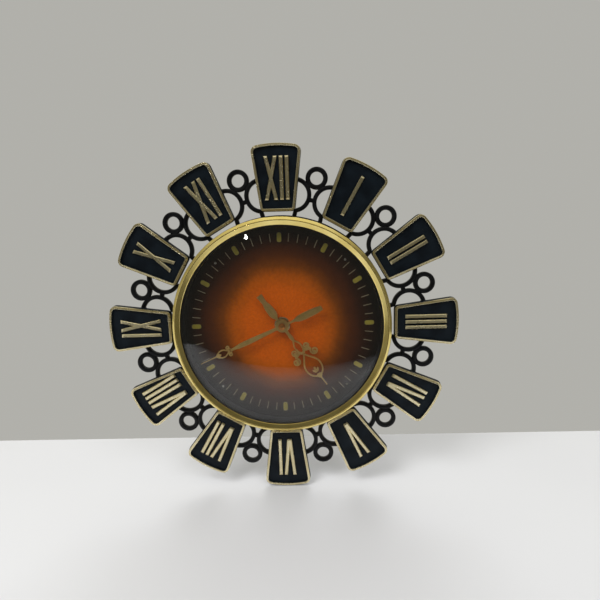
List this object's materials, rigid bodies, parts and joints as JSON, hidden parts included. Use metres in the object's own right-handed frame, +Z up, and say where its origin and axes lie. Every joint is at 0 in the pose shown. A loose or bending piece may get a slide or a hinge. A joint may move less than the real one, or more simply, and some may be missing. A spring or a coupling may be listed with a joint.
{
  "type": "sunburst wall clock",
  "caption": "Round wall clock with raised Roman numeral plates fanned round a domed glass, black scrollwork between them, and a battery balance movement in a drum behind.",
  "frame": {"origin": "where the wall nail meets the top of the hanging slot, in the plane of the wall", "axes": "+Z up towards XII, -Y out of the wall towards the viewer, +X towards III"},
  "size_m": [0.2734, 0.0506, 0.2734],
  "materials": {
    "black_enamel": "satin black enamel",
    "gilt_plate": "brushed gilt rim and numerals round a black enamel field",
    "polished_gilt": "polished gilt",
    "clock_glass": "clear domed glass",
    "dial_copper": "sunray brushed, orange shading to black at the edge",
    "hand_gilt": "satin gilt",
    "black_plastic": "moulded, fine grain",
    "plain_steel": "zinc plated",
    "works_brass": "satin machined",
    "coil_copper": "wound enamelled wire",
    "board_brown": "resin board",
    "battery_wrap": "plain wrap, no marks"
  },
  "bodies": {
    "clock_body": {"sunburst_frame": "black_enamel", "glass_ring": "black_enamel", "numeral_plate_01": "gilt_plate", "numeral_plate_02": "gilt_plate", "numeral_plate_03": "gilt_plate", "numeral_plate_04": "gilt_plate", "numeral_plate_05": "gilt_plate", "numeral_plate_06": "gilt_plate", "numeral_plate_07": "gilt_plate", "numeral_plate_08": "gilt_plate", "numeral_plate_09": "gilt_plate", "numeral_plate_10": "gilt_plate", "numeral_plate_11": "gilt_plate", "numeral_plate_12": "gilt_plate", "bezel": "polished_gilt", "glass": "clock_glass", "dial": "dial_copper", "dial_pin_1": "polished_gilt", "dial_pin_2": "polished_gilt", "dial_pin_3": "polished_gilt", "dial_pin_4": "polished_gilt", "dial_bush": "polished_gilt", "back_case": "black_plastic", "battery_trough": "black_plastic", "case_screw_1": "plain_steel", "case_screw_2": "plain_steel", "case_screw_3": "plain_steel", "case_screw_4": "plain_steel", "bracket_screw_1": "plain_steel", "bracket_screw_2": "plain_steel", "hanging_bracket": "plain_steel", "cover_pin": "plain_steel", "hairspring": "plain_steel", "battery_contact_plus": "plain_steel", "battery_contact_minus": "plain_steel", "pillar_1": "works_brass", "pillar_2": "works_brass", "pillar_3": "works_brass", "pillar_4": "works_brass", "movement_back_plate": "works_brass", "movement_front_plate": "works_brass", "drive_coil": "coil_copper", "circuit_board": "board_brown", "battery": "battery_wrap"},
    "minute": {"centre_wheel": "works_brass", "cannon_pinion": "works_brass", "minute_hand": "hand_gilt", "hand_nut": "polished_gilt", "set_knob": "works_brass"},
    "hour": {"hour_wheel": "works_brass", "hour_hand": "hand_gilt"},
    "motion": {"minute_wheel": "works_brass"},
    "third": {"third_wheel": "works_brass"},
    "star": {"star_wheel": "works_brass"},
    "balance": {"balance_wheel": "works_brass"},
    "regulator": {"regulator_lever": "plain_steel"},
    "door": {"battery_cover": "black_plastic"}
  },
  "joints": [
    {"name": "minute_turn", "type": "hinge", "parent": "clock_body", "child": "minute", "pos_m": [0, 0, -0.048], "axis": [0, 1, 0], "continuous": true},
    {"name": "hour_turn", "type": "hinge", "parent": "clock_body", "child": "hour", "pos_m": [0, 0, -0.048], "axis": [0, 1, 0], "continuous": true},
    {"name": "minute_wheel_turn", "type": "hinge", "parent": "clock_body", "child": "motion", "pos_m": [0.01039, 0, -0.054], "axis": [0, 1, 0], "continuous": true},
    {"name": "third_wheel_turn", "type": "hinge", "parent": "clock_body", "child": "third", "pos_m": [-0.01379, 0, -0.03643], "axis": [0, 1, 0], "continuous": true},
    {"name": "star_wheel_turn", "type": "hinge", "parent": "clock_body", "child": "star", "pos_m": [-0.00679, 0, -0.02431], "axis": [0, 1, 0], "continuous": true},
    {"name": "balance_swing", "type": "hinge", "parent": "clock_body", "child": "balance", "pos_m": [0.00503, 0, -0.02639], "axis": [0, 1, 0], "range_deg": [-120, 120], "stiffness_Nm_per_rad": 0.0001},
    {"name": "regulator_swing", "type": "hinge", "parent": "clock_body", "child": "regulator", "pos_m": [0.00503, 0, -0.02639], "axis": [0, 1, 0], "range_deg": [-20, 20]},
    {"name": "door_hinge", "type": "hinge", "parent": "clock_body", "child": "door", "pos_m": [0, -0.0026, -0.0732], "axis": [1, 0, 0], "range_deg": [0, 100]}
  ],
  "couplings": [
    {"joint": "hour_turn", "follows": "minute_turn", "ratio": 0.083333},
    {"joint": "minute_wheel_turn", "follows": "minute_turn", "ratio": -0.33333},
    {"joint": "third_wheel_turn", "follows": "minute_turn", "ratio": -5},
    {"joint": "star_wheel_turn", "follows": "minute_turn", "ratio": 20}
  ]
}
